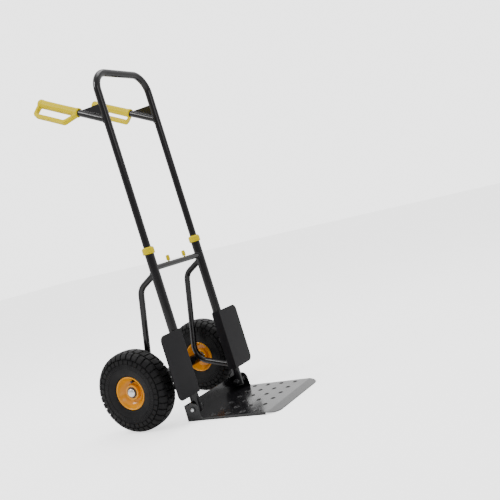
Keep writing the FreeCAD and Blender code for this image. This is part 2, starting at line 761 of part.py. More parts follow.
b = new_body("pivot_cap_nuts")
s = sketch(b, "YZ_Plane", "hex", lift=0)
hexr = 9.2
loop(s, [(hexr * math.cos(math.radians(60 * i + 30)), hexr * math.sin(math.radians(60 * i + 30))) for i in range(6)])
pad(b, s, 2 * w, symmetric=True)
s = sketch(b, "XZ_Plane", "middle")
w2 = w - 8
loop(s, [(-w2, -20), (w2, -20), (w2, 20), (-w2, 20)])
pocket(b, s, 60, symmetric=True)
s = sketch(b, "XZ_Plane", "dome")
for side, k in SIDES:
    loop(s, [(k * w2, 0), (k * w2, 7.4), (k * (w2 - 2.5), 6.6), (k * (w2 - 4.6), 4.4), (k * (w2 - 5.6), 0)])
revolve(b, s, "H_Axis")
s = sketch(b, "XZ_Plane", "thread")
for side, k in SIDES:
    loop(s, [(k * (w + 1), 0), (k * (w + 1), bo), (k * (RH - RO - 8), bo), (k * (RH - RO - 9), bo - 1), (k * (RH - RO - 9), 0)])
revolve(b, s, "H_Axis", cut=True)
place_frame(b)

# ------------------------------------------------------------------ release in the crossbar
kh, kt, po = D["knob_half"], D["knob_travel"], D["pin_outer"]
UP = D["crossbar_up"]
for side, k in SIDES:
    b = new_body("lock_pin_" + side)
    s = sketch(b, "XZ_Plane", "section")
    loop(s, [
        (k * D["pin_root"], 0), (k * D["pin_root"], po), (k * (D["pin_tip"] - 1), po),
        (k * D["pin_tip"], po - 1.2), (k * D["pin_tip"], 0),
    ])
    revolve(b, s, "H_Axis")
    s = sketch(b, "XY_Plane", "stem_hole")
    circle(s, k * kh, 0, 2.5)
    pocket(b, s, 10, reverse=True)
    place_frame(b, 0, 0, UP)

    b = new_body("release_knob_" + side)
    s = sketch(b, "XZ_Plane", "section")
    loop(s, [
        (0, 0), (2.5, 0), (2.5, 11.5), (5.0, 11.5), (6.0, 12.5), (6.0, 26.0), (5.2, 28.2), (3.4, 29.4), (0, 29.8),
    ])
    revolve(b, s, "V_Axis")
    place_frame(b, k * kh, 0, UP)

    b = new_body("release_spring_" + side)
    wire = 0.6
    s = sketch(b, "XZ_Plane", "wire")
    circle(s, k * 9.0, 5.0, wire)
    f = b.newObject("PartDesign::AdditiveHelix", "coil")
    f.Profile = s
    f.ReferenceAxis = (s, ["H_Axis"])
    f.Mode = 0
    f.Pitch = 4.0
    f.Height = 28.0
    f.Reversed = k < 0
    settle(b, f, False)
    place_frame(b, 0, 0, UP)

b = new_body("spring_stop")
s = sketch(b, "YZ_Plane", "section")
circle(s, 0, 0, D["crossbar_inner"])
pad(b, s, 16, symmetric=True)
place_frame(b, 0, 0, UP)

b = new_body("lock_pin_guides")
s = sketch(b, "XZ_Plane", "section")
for side, k in SIDES:
    loop(s, [(k * 98, po + 0.08), (k * 112, po + 0.08), (k * 112, D["crossbar_inner"]), (k * 98, D["crossbar_inner"])])
revolve(b, s, "H_Axis")
place_frame(b, 0, 0, UP)

# ------------------------------------------------------------------ wheel hardware fixed to the axle
wh, bn, bf, ao = D["wheel_half"], D["bearing_near"], D["bearing_far"], D["axle_outer"]
bp, br = D["ball_pitch"], D["ball_outer"]

b = new_body("hub_sleeves")
s = sketch(b, "XZ_Plane", "section")
for side, k in SIDES:
    x0, x1, x2 = k * (D["axle_tube_half"] - 14), k * D["axle_tube_half"], k * (wh - bf)
    loop(s, [(x0, ao), (x2, ao), (x2, ao + 3.5), (x1, ao + 3.5), (x1, D["axle_tube_inner"]), (x0, D["axle_tube_inner"])])
revolve(b, s, "H_Axis")
place_axle(b)

b = new_body("bearing_inner_rings")
s = sketch(b, "XZ_Plane", "section")
for side, k in SIDES:
    for a, c in ((bn, bf), (-bf, -bn)):
        loop(s, [(k * (wh + a), ao), (k * (wh + c), ao), (k * (wh + c), ao + 3.4), (k * (wh + a), ao + 3.4)])
revolve(b, s, "H_Axis")
s = sketch(b, "XZ_Plane", "raceway")
for side, k in SIDES:
    for c in (1, -1):
        circle(s, k * (wh + c * (bn + bf) / 2), bp, br + 0.1)
revolve(b, s, "H_Axis", cut=True)
place_axle(b)

b = new_body("bearing_spacers")
s = sketch(b, "XZ_Plane", "section")
for side, k in SIDES:
    x1, x2 = k * (wh - bn), k * (wh + bn)
    loop(s, [(x1, ao), (x2, ao), (x2, ao + 3.0), (x1, ao + 3.0)])
revolve(b, s, "H_Axis")
place_axle(b)

b = new_body("axle_washers")
s = sketch(b, "XZ_Plane", "section")
for side, k in SIDES:
    loop(s, [
        (k * (wh + bf), ao), (k * (wh + 27.3), ao), (k * (wh + 27.3), 16.4), (k * (wh + 26.7), 17.0),
        (k * (wh + 25.4), 17.0), (k * (wh + 25.4), 13.2), (k * (wh + bf), 13.2),
    ])
revolve(b, s, "H_Axis")
place_axle(b)

b = new_body("axle_caps")
s = sketch(b, "XZ_Plane", "section")
xe = D["axle_end"]
for side, k in SIDES:
    x0 = wh + 27.3
    loop(s, [
        (k * x0, ao), (k * x0, 13.6), (k * (x0 + 0.6), 14.0), (k * (x0 + 2.0), 13.8), (k * (x0 + 3.8), 12.4),
        (k * (x0 + 5.2), 9.8), (k * (x0 + 6.1), 6.4), (k * (x0 + 6.5), 3.0), (k * (x0 + 6.6), 0),
        (k * (xe + 0.5), 0), (k * (xe + 0.5), ao - 2.0), (k * (xe - 0.6), ao),
    ])
revolve(b, s, "H_Axis")
place_axle(b)

# ------------------------------------------------------------------ wheels
# Each wheel piece is drawn about the axle line with x measured outboard from
# the wheel's centre plane; the left wheel's x runs the other way.
BS, RE, TO, TH = D["bead_seat"], D["rim_edge"], D["tyre_outer"], D["tyre_half"]
BO = D["bearing_outer"]
for side, k in SIDES:

    def place_wheel(obj, k=k):
        place_axle(obj, k * wh)

    def turned(body, name, *loops, k=k, cut=False):
        s = sketch(body, "XZ_Plane", name)
        for pts in loops:
            loop(s, [(k * q(a), r) for a, r in pts])
        return revolve(body, s, "H_Axis", cut=cut)

    b = new_body("tyre_" + side)
    outer = [
        (22.0, BS), (30.2, BS), (30.2, 54.2), (35.6, 55.6), (38.4, 60.0), (40.8, 70.0), (TH, 84.0), (TH - 0.3, 96.0),
        (TH - 2.0, 108.0), (TH - 5.5, 118.0), (TH - 12.0, 125.6), (TH - 22.0, TO - 1.2), (TH - 34.0, TO),
    ]
    cavity = [
        (0, 123.0), (14.0, 122.2), (24.0, 118.6), (30.5, 111.0), (34.8, 100.0), (36.2, 88.0), (35.2, 74.0),
        (31.5, 62.0), (25.0, 55.6), (22.0, 55.0),
    ]
    section = outer + [(-q(x), r) for x, r in reversed(outer)]
    section += [(-q(x), r) for x, r in reversed(cavity[1:])] + cavity
    turned(b, "section", section)
    place_wheel(b)

    b = new_body("inner_tube_" + side)
    o = [
        (0, 122.4), (13.8, 121.6), (23.6, 118.1), (30.0, 110.7), (34.2, 99.8), (35.6, 88.0), (34.6, 74.2),
        (31.0, 62.4), (24.6, 56.2), (20.8, 55.0), (20.8, 51.0),
    ]
    i2 = [
        (0, 120.4), (13.2, 119.6), (22.4, 116.5), (28.4, 109.6), (32.3, 99.2), (33.6, 88.0), (32.6, 74.8),
        (29.4, 63.8), (23.6, 58.2), (18.8, 56.6), (18.8, 53.0),
    ]
    ring_o = o + [(-q(x), r) for x, r in reversed(o[1:])]
    ring_i = i2 + [(-q(x), r) for x, r in reversed(i2[1:])]
    turned(b, "section", ring_o, ring_i)
    place_wheel(b)

    # rim halves, welded face to face on the wheel's centre plane
    lip = 17.5
    b = new_body("rim_outer_" + side)
    turned(b, "section", [
        (0, BS), (30.4, BS), (31.4, RE - 0.6), (32.2, RE), (34.2, RE), (35.0, RE - 0.8), (35.0, BS + 0.2), (33.6, 49.2),
        (29.0, 47.2), (23.0, 43.6), (17.0, 38.6), (13.2, 33.6), (11.5, 29.0), (11.8, 26.2), (13.6, 24.8),
        (24.4, 23.8), (25.0, 23.2), (25.0, lip), (bf, lip), (bf, BO), (0, BO), (0, 26.5), (8.0, 27.0), (8.0, 31.0),
        (10.5, 36.6), (15.0, 41.8), (22.0, 46.4), (0, 46.6),
    ])
    # valve hole through the dish
    s = sketch(b, "YZ_Plane", "valve_hole")
    circle(s, D["valve_fore"], D["valve_up"], 4.4)
    pocket(b, s, 40, reverse=(k > 0))
    place_wheel(b)

    b = new_body("rim_inner_" + side)
    turned(b, "section", [
        (0, BS), (-30.4, BS), (-31.4, RE - 0.6), (-32.2, RE), (-34.2, RE), (-35.0, RE - 0.8), (-35.0, BS + 0.2),
        (-33.6, 49.2), (-28.0, 46.2), (-17.0, 41.6), (-12.6, 39.6), (-11.5, 38.4), (-11.5, 26.2), (-13.0, 24.8),
        (-24.4, 23.8), (-25.0, 23.2), (-25.0, lip), (-bf, lip), (-bf, BO), (0, BO), (0, 26.5), (-8.0, 27.0),
        (-8.0, 39.6), (-14.0, 43.4), (-22.0, 46.4), (0, 46.6),
    ])
    place_wheel(b)

    b = new_body("bearing_outer_rings_" + side)
    turned(b, "section",
           [(bn, 18.1), (bf, 18.1), (bf, BO), (bn, BO)],
           [(-bf, 18.1), (-bn, 18.1), (-bn, BO), (-bf, BO)])
    s = sketch(b, "XZ_Plane", "raceway")
    circle(s, (bn + bf) / 2, bp, br + 0.1)
    circle(s, -(bn + bf) / 2, bp, br + 0.1)
    revolve(b, s, "H_Axis", cut=True)
    place_wheel(b)

    b = new_body("valve_" + side)
    turned(b, "section", [
        (9.0, 0), (9.0, 3.4), (19.5, 3.4), (19.5, 4.0), (27.5, 4.0), (28.3, 3.2), (28.3, 0),
    ])
    place(b, k * wh, AX[1] + D["valve_fore"], AX[2] + D["valve_up"], 0)

# bearing balls: nine in each row, rolling between the two rings
for side, k in SIDES:
    balls = []
    radius, pitch = D["ball_outer"].v, D["ball_pitch"].v
    for row in (1, -1):
        for i in range(9):
            a = math.radians(40 * i + 10)
            balls.append(Part.makeSphere(
                radius, V(row * (D["bearing_near"].v + D["bearing_far"].v) / 2, pitch * math.cos(a), pitch * math.sin(a))))
    f = doc.addObject("Part::Feature", "bearing_balls_" + side)
    f.Label = "bearing_balls_" + side
    f.Shape = Part.makeCompound(balls)
    place(f, k * wh, AX[1], AX[2], 0)
    SUBPARTS.append(f)

doc.recompute()

# ------------------------------------------------------------------ checks and export
bad = [o.Name for o in doc.Objects if "Invalid" in o.State or "Error" in o.State]
if bad:
    raise RuntimeError("objects that did not recompute: %s" % bad)
box = FreeCAD.BoundBox()
names = set()
for o in SUBPARTS:
    if o.Shape.isNull() or not o.Shape.isValid() or not o.Shape.Solids:
        raise RuntimeError("sub-part %s has no valid solid" % o.Label)
    if o.Label in names:
        raise RuntimeError("two sub-parts are called %s" % o.Label)
    names.add(o.Label)
    box.add(o.Shape.BoundBox)
os.makedirs("parts", exist_ok=True)
for o in SUBPARTS:
    o.Shape.exportStep("parts/%s.step" % o.Label)
    print("%-28s solids %2d  volume %10.1f mm3" % (o.Label, len(o.Shape.Solids), o.Shape.Volume))
print("%d sub-parts, box X %.2f..%.2f  Y %.2f..%.2f  Z %.2f..%.2f" % (
    len(SUBPARTS), box.XMin, box.XMax, box.YMin, box.YMax, box.ZMin, box.ZMax))
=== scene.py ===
import json
import math

import bmesh
import bpy
import numpy as np
from mathutils import Matrix, Vector


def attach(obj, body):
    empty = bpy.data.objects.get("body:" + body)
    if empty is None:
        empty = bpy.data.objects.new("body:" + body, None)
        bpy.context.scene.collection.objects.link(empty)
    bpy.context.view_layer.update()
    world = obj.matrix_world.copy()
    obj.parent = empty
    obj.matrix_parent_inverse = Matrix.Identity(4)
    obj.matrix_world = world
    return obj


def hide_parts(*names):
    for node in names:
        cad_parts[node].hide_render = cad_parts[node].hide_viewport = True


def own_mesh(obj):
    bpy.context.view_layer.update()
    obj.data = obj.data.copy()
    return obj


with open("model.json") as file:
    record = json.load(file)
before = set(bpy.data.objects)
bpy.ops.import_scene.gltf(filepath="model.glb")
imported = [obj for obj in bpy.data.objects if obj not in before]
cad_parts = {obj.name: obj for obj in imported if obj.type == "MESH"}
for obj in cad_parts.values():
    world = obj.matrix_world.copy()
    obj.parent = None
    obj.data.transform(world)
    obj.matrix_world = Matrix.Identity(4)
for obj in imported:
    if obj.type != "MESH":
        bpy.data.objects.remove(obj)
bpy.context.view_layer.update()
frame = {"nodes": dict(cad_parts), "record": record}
NODES = frame["nodes"]
SIDES = (("right", 1), ("left", -1))

# ---------------------------------------------------------------- places, in metres
LEAN = math.radians(4.0)
TURN = math.radians(4.0 + 59.74)
Y0, Z0 = 0.01893, 0.036
MM = 0.001


def F(x, y, z):
    """A point of the leaning frame, given in millimetres from the pivot axis."""
    y, z = y * MM, z * MM
    return Vector((x * MM, Y0 + y * math.cos(LEAN) - z * math.sin(LEAN), Z0 + y * math.sin(LEAN) + z * math.cos(LEAN)))


UP = Vector((0, -math.sin(LEAN), math.cos(LEAN)))
FWD = Vector((0, math.cos(LEAN), math.sin(LEAN)))
X = Vector((1, 0, 0))
AXLE = F(0, -155, 105.07)
HZ = Vector((0, -math.sin(TURN), math.cos(TURN)))
HY = Vector((0, math.cos(TURN), math.sin(TURN)))


def T(x, a, b):
    """A point of the toe plate, in millimetres from its pivot."""
    return Vector((x * MM, Y0 + a * MM, Z0 + b * MM))


def H(k, x, y, z):
    """A point of a handle, in millimetres from its root."""
    return F(k * 135, 0, 943.8) + X * (x * MM) + HY * (y * MM) + HZ * (z * MM)


# ---------------------------------------------------------------- materials
def material(name, base, rough, metallic=0.0, spec=0.5, coat=0.0, coat_rough=0.1, second=None, blend_scale=18.0,
             blend=(0.35, 0.7), bumps=((700.0, 0.15, 0.0003),), rough_var=0.06, rough_scale=55.0, speck=None,
             sheen=0.0, subsurface=0.0):
    m = bpy.data.materials.new(name)
    m.use_nodes = True
    nt = m.node_tree
    b = nt.nodes["Principled BSDF"]
    b.inputs["Metallic"].default_value = metallic
    b.inputs["Specular IOR Level"].default_value = spec
    b.inputs["Coat Weight"].default_value = coat
    b.inputs["Coat Roughness"].default_value = coat_rough
    if sheen:
        b.inputs["Sheen Weight"].default_value = sheen
    if subsurface:
        b.inputs["Subsurface Weight"].default_value = subsurface
        b.inputs["Subsurface Scale"].default_value = 0.002
    tc = nt.nodes.new("ShaderNodeTexCoord")

    def noise(scale, detail=3.0, rough_=0.55):
        n = nt.nodes.new("ShaderNodeTexNoise")
        n.inputs["Scale"].default_value = scale
        n.inputs["Detail"].default_value = detail
        n.inputs["Roughness"].default_value = rough_
        nt.links.new(tc.outputs["Object"], n.inputs["Vector"])
        return n

    def ramp(src, lo, hi):
        r = nt.nodes.new("ShaderNodeMapRange")
        r.inputs["From Min"].default_value = lo
        r.inputs["From Max"].default_value = hi
        nt.links.new(src, r.inputs["Value"])
        return r.outputs["Result"]

    second = second or tuple(min(1.0, c * 1.35 + 0.002) for c in base)
    mix = nt.nodes.new("ShaderNodeMix")
    mix.data_type = "RGBA"
    mix.inputs["A"].default_value = (*base, 1)
    mix.inputs["B"].default_value = (*second, 1)
    nt.links.new(ramp(noise(blend_scale, 5.0).outputs["Fac"], *blend), mix.inputs["Factor"])
    colour = mix.outputs["Result"]
    if speck:
        tint, scale, lo, hi = speck
        mix2 = nt.nodes.new("ShaderNodeMix")
        mix2.data_type = "RGBA"
        nt.links.new(colour, mix2.inputs["A"])
        mix2.inputs["B"].default_value = (*tint, 1)
        nt.links.new(ramp(noise(scale, 2.0, 0.5).outputs["Fac"], lo, hi), mix2.inputs["Factor"])
        colour = mix2.outputs["Result"]
    nt.links.new(colour, b.inputs["Base Color"])

    rr = nt.nodes.new("ShaderNodeMapRange")
    rr.inputs["From Min"].default_value = 0.3
    rr.inputs["From Max"].default_value = 0.7
    rr.inputs["To Min"].default_value = max(0.02, rough - rough_var)
    rr.inputs["To Max"].default_value = min(1.0, rough + rough_var)
    nt.links.new(noise(rough_scale, 6.0, 0.6).outputs["Fac"], rr.inputs["Value"])
    nt.links.new(rr.outputs["Result"], b.inputs["Roughness"])

    last = None
    for scale, strength, distance in bumps:
        bp = nt.nodes.new("ShaderNodeBump")
        bp.inputs["Strength"].default_value = strength
        bp.inputs["Distance"].default_value = distance
        nt.links.new(noise(scale, 2.0, 0.5).outputs["Fac"], bp.inputs["Height"])
        if last is not None:
            nt.links.new(last.outputs["Normal"], bp.inputs["Normal"])
        last = bp
    nt.links.new(last.outputs["Normal"], b.inputs["Normal"])
    return m


GLOSS = material("gloss_black_coat", (0.0040, 0.0035, 0.0042), 0.17, spec=0.30, coat=0.12, coat_rough=0.06, second=(0.0062, 0.0056, 0.0065),
                 blend_scale=9.0, bumps=((1500.0, 0.03, 0.00008), (230.0, 0.03, 0.0003)), rough_var=0.05,
                 speck=((0.014, 0.0135, 0.0142), 900.0, 0.66, 0.74))
SATIN = material("satin_black_coat", (0.0055, 0.0052, 0.0062), 0.36, spec=0.10, coat=0.0, second=(0.0085, 0.0080, 0.0092),
                 blend_scale=7.0, bumps=((1900.0, 0.06, 0.0001), (160.0, 0.04, 0.0004)), rough_var=0.05,
                 speck=((0.020, 0.0195, 0.0205), 1100.0, 0.66, 0.74))
PLATE = material("toe_plate_coat", (0.0050, 0.0048, 0.0056), 0.20, spec=0.45, coat=0.10, coat_rough=0.12, second=(0.0080, 0.0076, 0.0086),
                 blend_scale=7.0, bumps=((1900.0, 0.03, 0.00008), (120.0, 0.02, 0.0003)), rough_var=0.04,
                 speck=((0.018, 0.0175, 0.0185), 1100.0, 0.66, 0.74))
GRIP = material("yellow_moulding", (0.56, 0.43, 0.0), 0.36, spec=0.10, second=(0.60, 0.465, 0.0), blend_scale=14.0,
                bumps=((2100.0, 0.04, 0.0001), (90.0, 0.04, 0.0005)), rough_var=0.05,
                speck=((0.51, 0.385, 0.0), 320.0, 0.60, 0.78))
RIMPAINT = material("golden_rim_coat", (0.60, 0.225, 0.0), 0.22, spec=0.25, coat=0.22, coat_rough=0.05, second=(0.66, 0.27, 0.0),
                    blend_scale=12.0, bumps=((1200.0, 0.08, 0.00012), (140.0, 0.05, 0.0004)), rough_var=0.05,
                    speck=((0.40, 0.145, 0.0004), 500.0, 0.64, 0.80))
RUBBER = material("tyre_rubber", (0.0045, 0.0044, 0.0050), 0.50, spec=0.15, second=(0.0095, 0.0092, 0.0092), blend_scale=22.0,
                  blend=(0.38, 0.75), bumps=((1700.0, 0.30, 0.00025), (260.0, 0.10, 0.0006)), rough_var=0.10,
                  speck=((0.028, 0.027, 0.025), 420.0, 0.62, 0.80))
SOFT_RUBBER = material("soft_rubber", (0.012, 0.012, 0.012), 0.48, second=(0.022, 0.022, 0.022), bumps=((1500.0, 0.2, 0.0002),))
BLACK_PLASTIC = material("black_moulding", (0.011, 0.011, 0.012), 0.42, second=(0.02, 0.02, 0.021), bumps=((1600.0, 0.2, 0.0002),))
GREY_SLEEVE = material("grey_sleeve", (0.16, 0.16, 0.165), 0.42, second=(0.22, 0.22, 0.22), bumps=((1300.0, 0.18, 0.0002),))
ZINC = material("zinc_plate", (0.60, 0.61, 0.63), 0.26, metallic=1.0, second=(0.74, 0.74, 0.75), blend_scale=160.0,
                blend=(0.3, 0.75), bumps=((900.0, 0.10, 0.0002), (2600.0, 0.08, 0.0001)), rough_var=0.09, rough_scale=200.0)
WIRE = material("spring_wire", (0.42, 0.42, 0.44), 0.30, metallic=1.0, second=(0.52, 0.52, 0.53), blend_scale=300.0)
BEARING = material("bearing_steel", (0.66, 0.66, 0.68), 0.16, metallic=1.0, second=(0.74, 0.74, 0.75), blend_scale=220.0)
WELD = material("painted_weld", (0.0045, 0.0040, 0.0048), 0.22, spec=0.30, coat=0.12, coat_rough=0.1, second=(0.0075, 0.0070, 0.0080),
                blend_scale=60.0, bumps=((900.0, 0.35, 0.0004),))

SLOT_OF = {
    "gloss_black_paint": GLOSS, "satin_black_paint": SATIN, "yellow_plastic": GRIP, "yellow_rim_paint": RIMPAINT,
    "zinc_steel": ZINC, "spring_steel": WIRE, "bearing_steel": BEARING, "tyre_rubber": RUBBER, "tube_rubber": SOFT_RUBBER,
    "black_plastic": BLACK_PLASTIC, "grey_sleeve_plastic": GREY_SLEEVE,
}
NODE_SLOT = {s["node"]: s["material_slot"] for s in frame["record"]["subparts"]}
for node, slot_name in NODE_SLOT.items():
    ob = NODES[node]
    ob.data.materials.clear()
    ob.data.materials.append(SLOT_OF[slot_name])

# ---------------------------------------------------------------- mesh helpers
BODY = {n: b for b, ns in frame["record"]["behaviour"]["bodies"].items() for n in ns}


def finish_piece(ob, mat, body, replaces=()):
    ob.data.materials.clear()
    ob.data.materials.append(mat)
    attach(ob, body)
    if replaces:
        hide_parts(*replaces)
    return ob


def make(name, verts, faces, smooth=True, sharp_deg=38.0):
    me = bpy.data.meshes.new(name)
    me.from_pydata([tuple(v) for v in verts], [], faces)
    me.validate()
    ob = bpy.data.objects.new(name, me)
    bpy.context.scene.collection.objects.link(ob)
    shade(me, sharp_deg if smooth else 1.0)
    return ob


def shade(me, sharp_deg):
    bm = bmesh.new()
    bm.from_mesh(me)
    bmesh.ops.recalc_face_normals(bm, faces=bm.faces)
    lim = math.radians(sharp_deg)
    for f in bm.faces:
        f.smooth = True
    for e in bm.edges:
        e.smooth = not (len(e.link_faces) == 2 and e.calc_face_angle(0.0) > lim)
    bm.to_mesh(me)
    bm.free()
    me.update()


def join(name, *obs):
    """Joins meshes into one object."""
    bm = bmesh.new()
    for o in obs:
        bm.from_mesh(o.data)
    me = bpy.data.meshes.new(name)
    bm.to_mesh(me)
    bm.free()
    for o in obs:
        old = o.data
        bpy.data.objects.remove(o)
        bpy.data.meshes.remove(old)
    ob = bpy.data.objects.new(name, me)
    bpy.context.scene.collection.objects.link(ob)
    return ob


def rounded_run(points, radii, step=3.0):
    """A run of straight stretches with arcs at its corners (any units)."""
    out = [np.array(points[0], float)]
    for i in range(1, len(points) - 1):
        c, p, n = (np.array(v, float) for v in (points[i], points[i - 1], points[i + 1]))
        a, b = p - c, n - c
        a /= np.linalg.norm(a)
        b /= np.linalg.norm(b)
        half = math.acos(max(-1.0, min(1.0, float(a @ b)))) / 2
        cut = radii[i - 1] / math.tan(half)
        mid = (a + b) / np.linalg.norm(a + b)
        centre = c + mid * (radii[i - 1] / math.sin(half))
        s, e = c + a * cut, c + b * cut
        sweep_angle = math.pi - 2 * half
        m = max(4, int(radii[i - 1] * sweep_angle / step))
        u = (s - centre) / np.linalg.norm(s - centre)
        w = (e - centre) / np.linalg.norm(e - centre)
        for j in range(m + 1):
            t = j / m
            v = (math.sin((1 - t) * sweep_angle) * u + math.sin(t * sweep_angle) * w) / math.sin(sweep_angle)
            out.append(centre + v * radii[i - 1])
    out.append(np.array(points[-1], float))
    return out


def sweep(name, pts, radius, n=40, caps=True, closed=False, inner=None):
    """A round tube along points; radius is a number or one number per point."""
    pts = [Vector(p) for p in pts]
    m = len(pts)
    rad = [radius] * m if not hasattr(radius, "__len__") else radius
    tang = []
    for i in range(m):
        if closed:
            t = pts[(i + 1) % m] - pts[i - 1]
        else:
            t = pts[min(i + 1, m - 1)] - pts[max(i - 1, 0)]
        tang.append(t.normalized())
    ref = Vector((1, 0, 0)) if abs(tang[0].x) < 0.8 else Vector((0, 1, 0))
    nrm = (ref - tang[0] * ref.dot(tang[0])).normalized()
    frames = [nrm]
    for i in range(1, m):
        q = tang[i - 1].rotation_difference(tang[i])
        nrm = q @ nrm
        nrm = (nrm - tang[i] * nrm.dot(tang[i])).normalized()
        frames.append(nrm)
    verts, faces = [], []
    for i in range(m):
        b = tang[i].cross(frames[i])
        for j in range(n):
            a = 2 * math.pi * j / n
            verts.append(pts[i] + (frames[i] * math.cos(a) + b * math.sin(a)) * rad[i])
    rows = m if closed else m - 1
    # a closed run may come round turned against its own start: the last row is matched to the nearest vertex
    shift = 0
    if closed:
        b = tang[-1].cross(frames[-1])
        best = min(range(n), key=lambda s: (verts[s] - verts[(m - 1) * n]).length)
        shift = best
    for i in range(rows):
        i2 = (i + 1) % m
        off = shift if (closed and i2 == 0) else 0
        for j in range(n):
            faces.append((i * n + j, i * n + (j + 1) % n, i2 * n + (j + 1 + off) % n, i2 * n + (j + off) % n))
    if caps and not closed:
        faces.append(tuple(range(n - 1, -1, -1)))
        faces.append(tuple((m - 1) * n + j for j in range(n)))
    return make(name, verts, faces)


def lathe(name, loops, origin, axis, n=96, sharp_deg=38.0):
    """Closed (along, radius) loops in millimetres turned about an axis through origin."""
    axis = Vector(axis).normalized()
    ref = Vector((0, 0, 1)) if abs(axis.z) < 0.8 else Vector((1, 0, 0))
    u = (ref - axis * ref.dot(axis)).normalized()
    v = axis.cross(u)
    verts, faces = [], []
    for pts in loops:
        base = len(verts)
        m = len(pts)
        for a, r in pts:
            for j in range(n):
                t = 2 * math.pi * j / n
                verts.append(origin + axis * (a * MM) + (u * math.cos(t) + v * math.sin(t)) * (max(r, 0.0) * MM))
        for i in range(m):
            i2 = (i + 1) % m
            if pts[i][1] <= 0 and pts[i2][1] <= 0:
                continue
            for j in range(n):
                j2 = (j + 1) % n
                faces.append((base + i * n + j, base + i * n + j2, base + i2 * n + j2, base + i2 * n + j))
    me = bpy.data.meshes.new(name)
    me.from_pydata([tuple(w) for w in verts], [], faces)
    bm = bmesh.new()
    bm.from_mesh(me)
    bmesh.ops.remove_doubles(bm, verts=bm.verts, dist=1e-6)
    bm.to_mesh(me)
    bm.free()
    me.validate()
    ob = bpy.data.objects.new(name, me)
    bpy.context.scene.collection.objects.link(ob)
    shade(me, sharp_deg)
    return ob


def soften(pts, r=0.6, skip=()):
    """Rounds the corners of a closed loop with small arcs."""
    out = []
    m = len(pts)
    for i in range(m):
        c, p, q = (np.array(v, float) for v in (pts[i], pts[i - 1], pts[(i + 1) % m]))
        a, b = p - c, q - c
        la, lb = np.linalg.norm(a), np.linalg.norm(b)
        if i in skip or la < 1e-6 or lb < 1e-6 or c[1] <= 0:
            out.append(tuple(c))
            continue
        a, b = a / la, b / lb
        dot = float(a @ b)
        if dot < -0.985:
            out.append(tuple(c))
            continue
        cut = min(r, la * 0.45, lb * 0.45)
        for t in (0.0, 0.25, 0.5, 0.75, 1.0):
            s, e = c + a * cut, c + b * cut
            out.append(tuple((1 - t) ** 2 * s + 2 * t * (1 - t) * c + t * t * e))
    return out


def refine(node, width=0.0005, segments=2, deg=32.0, name=None, mat=None):
    """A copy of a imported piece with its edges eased, standing for it."""
    src = NODES[node]
    me = src.data.copy()
    ob = bpy.data.objects.new(name or node + "_shown", me)
    bpy.context.scene.collection.objects.link(ob)
    bm = bmesh.new()
    bm.from_mesh(me)
    bmesh.ops.remove_doubles(bm, verts=bm.verts, dist=2e-6)
    bmesh.ops.dissolve_limit(bm, angle_limit=math.radians(0.4), verts=bm.verts, edges=bm.edges)
    bm.to_mesh(me)
    bm.free()
    mod = ob.modifiers.new("ease", "BEVEL")
    mod.width = width
    mod.segments = segments
    mod.limit_method = "ANGLE"
    mod.angle_limit = math.radians(deg)
    mod.harden_normals = False
    apply_mods(ob)
    shade(ob.data, 50.0)
    # large faces keep their own normals, so flat sheet reflects as flat
    mod = ob.modifiers.new("flats", "WEIGHTED_NORMAL")
    mod.weight = 100
    mod.keep_sharp = True
    apply_mods(ob)
    return finish_piece(ob, mat or SLOT_OF[NODE_SLOT[node]], BODY[node], (node,))


def apply_mods(ob):
    dg = bpy.context.evaluated_depsgraph_get()
    dg.update()
    new = bpy.data.meshes.new_from_object(ob.evaluated_get(dg), depsgraph=dg)
    old = ob.data
    ob.modifiers.clear()
    ob.data = new
    bpy.data.meshes.remove(old)


def weld(name, body, a0, ad, ra, b0, bd, rb, size=2.1, trim=None):
    """A weld bead where tube b (b0, along bd) meets the round tube a."""
    ad, bd = ad.normalized(), bd.normalized()
    ref = ad - bd * ad.dot(bd)
    u = ref.normalized()
    v = bd.cross(u)
    ring = []
    n = 150
    rb2 = rb + 0.0005
    for i in range(n):
        t = 2 * math.pi * i / n
        p = b0 + (u * math.cos(t) + v * math.sin(t)) * rb2
        # distance of p + s bd from a's axis equals ra
        w = p - a0
        w = w - ad * w.dot(ad)
        d = bd - ad * bd.dot(ad)
        A, B, C = d.dot(d), 2 * w.dot(d), w.dot(w) - (ra + 0.0004) ** 2
        disc = B * B - 4 * A * C
        if disc < 0:
            disc = 0.0
        s = (-B + math.sqrt(disc)) / (2 * A)
        ring.append(p + bd * s)
    arc = 0.0
    rad = []
    for i in range(n):
        arc += (ring[i] - ring[i - 1]).length
        rad.append(size * MM * (1.0 + 0.13 * abs(math.sin(arc / (2.6 * MM) * math.pi / 2)) + 0.06 * math.sin(arc * 310)))
    ob = sweep(name, ring, rad, n=12, closed=True)
    return finish_piece(ob, WELD, body)


def bead(name, body, p0, p1, size=1.7, mat=None):
    """A straight weld bead."""
    L = (p1 - p0).length
    n = max(8, int(L / (0.7 * MM)))
    pts, rad = [], []
    for i in range(n + 1):
        t = i / n
        pts.append(p0.lerp(p1, t))
        end = min(1.0, 6 * t + 0.35, 6 * (1 - t) + 0.35)
        rad.append(size * MM * end * (1.0 + 0.14 * abs(math.sin(t * L / (2.5 * MM) * math.pi / 2)) + 0.05 * math.sin(t * L * 290)))
    ob = sweep(name, pts, rad, n=10)
    return finish_piece(ob, mat or WELD, body)


